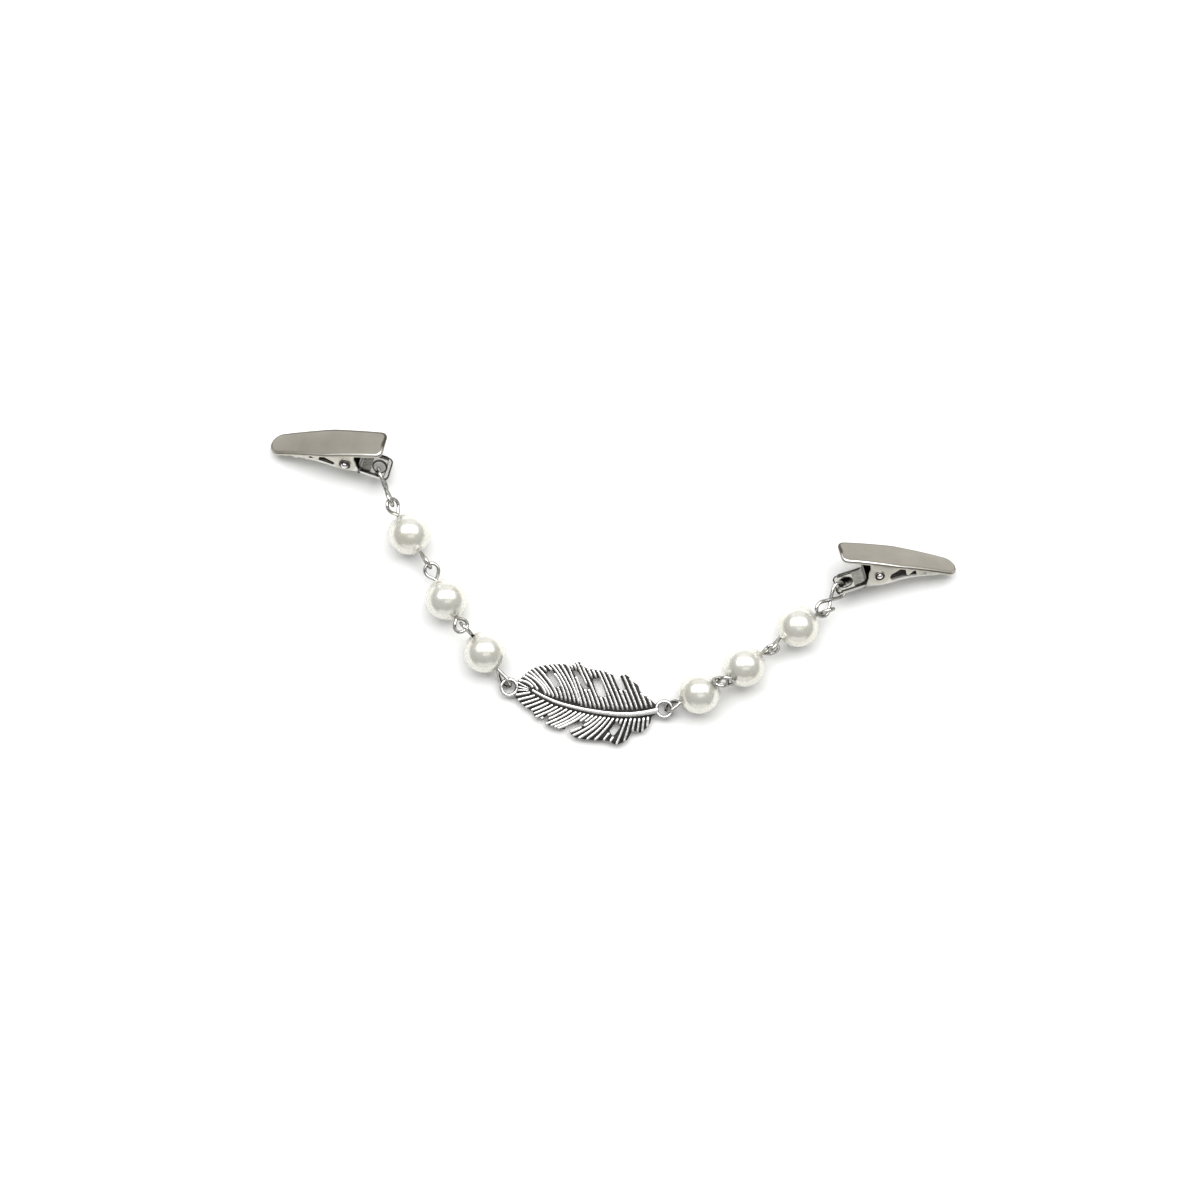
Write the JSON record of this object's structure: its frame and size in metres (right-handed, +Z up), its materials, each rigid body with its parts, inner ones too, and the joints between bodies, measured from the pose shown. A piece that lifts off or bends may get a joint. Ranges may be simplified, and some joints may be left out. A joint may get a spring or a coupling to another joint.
{
  "type": "sweater clip",
  "caption": "Toothed spring clips joined by a chain of round pearls with a pierced feather charm, laid flat; the clips grip and join the two fronts of a cardigan.",
  "frame": {"origin": "on the table under the middle of the laid-out clip and chain", "axes": "+Z up from the table, +X along the length from the left clip to the right one, +Y away from the feather charm"},
  "size_m": [0.1304, 0.06, 0.0116],
  "materials": {
    "feather_charm": "cast zinc alloy with an antique silver finish, dark between the barbs",
    "pearl": "glossy white pearl",
    "wire": "bright silver-coloured wire",
    "cover": "satin warm-grey nickel plate",
    "jaw": "bright nickel plate",
    "rivet": "bright nickel plate",
    "spring": "tempered steel strip"
  },
  "bodies": {
    "chain": {"feather_charm": "feather_charm", "pearl_1": "pearl", "pearl_2": "pearl", "pearl_3": "pearl", "pearl_4": "pearl", "pearl_5": "pearl", "pearl_6": "pearl", "eye_pin_1": "wire", "eye_pin_2": "wire", "eye_pin_3": "wire", "eye_pin_4": "wire", "eye_pin_5": "wire", "eye_pin_6": "wire", "left_link": "wire", "right_link": "wire", "left_jaw": "jaw", "left_rivet": "rivet", "left_spring": "spring", "right_jaw": "jaw", "right_rivet": "rivet", "right_spring": "spring"},
    "left_lever": {"left_cover": "cover"},
    "right_lever": {"right_cover": "cover"}
  },
  "joints": [
    {"name": "left_clip_hinge", "type": "hinge", "parent": "chain", "child": "left_lever", "pos_m": [-0.05009, 0.02591, 0.00547], "axis": [0.2213, 0.8349, -0.5039], "range_deg": [0, 28], "stiffness_Nm_per_rad": 0.002, "springref_deg": -28.65, "deforming": ["left_spring"]},
    {"name": "right_clip_hinge", "type": "hinge", "parent": "chain", "child": "right_lever", "pos_m": [0.0497, 0.00428, 0.00527], "axis": [0.1559, -0.6621, 0.733], "range_deg": [0, 28], "stiffness_Nm_per_rad": 0.002, "springref_deg": -28.65, "deforming": ["right_spring"]}
  ]
}
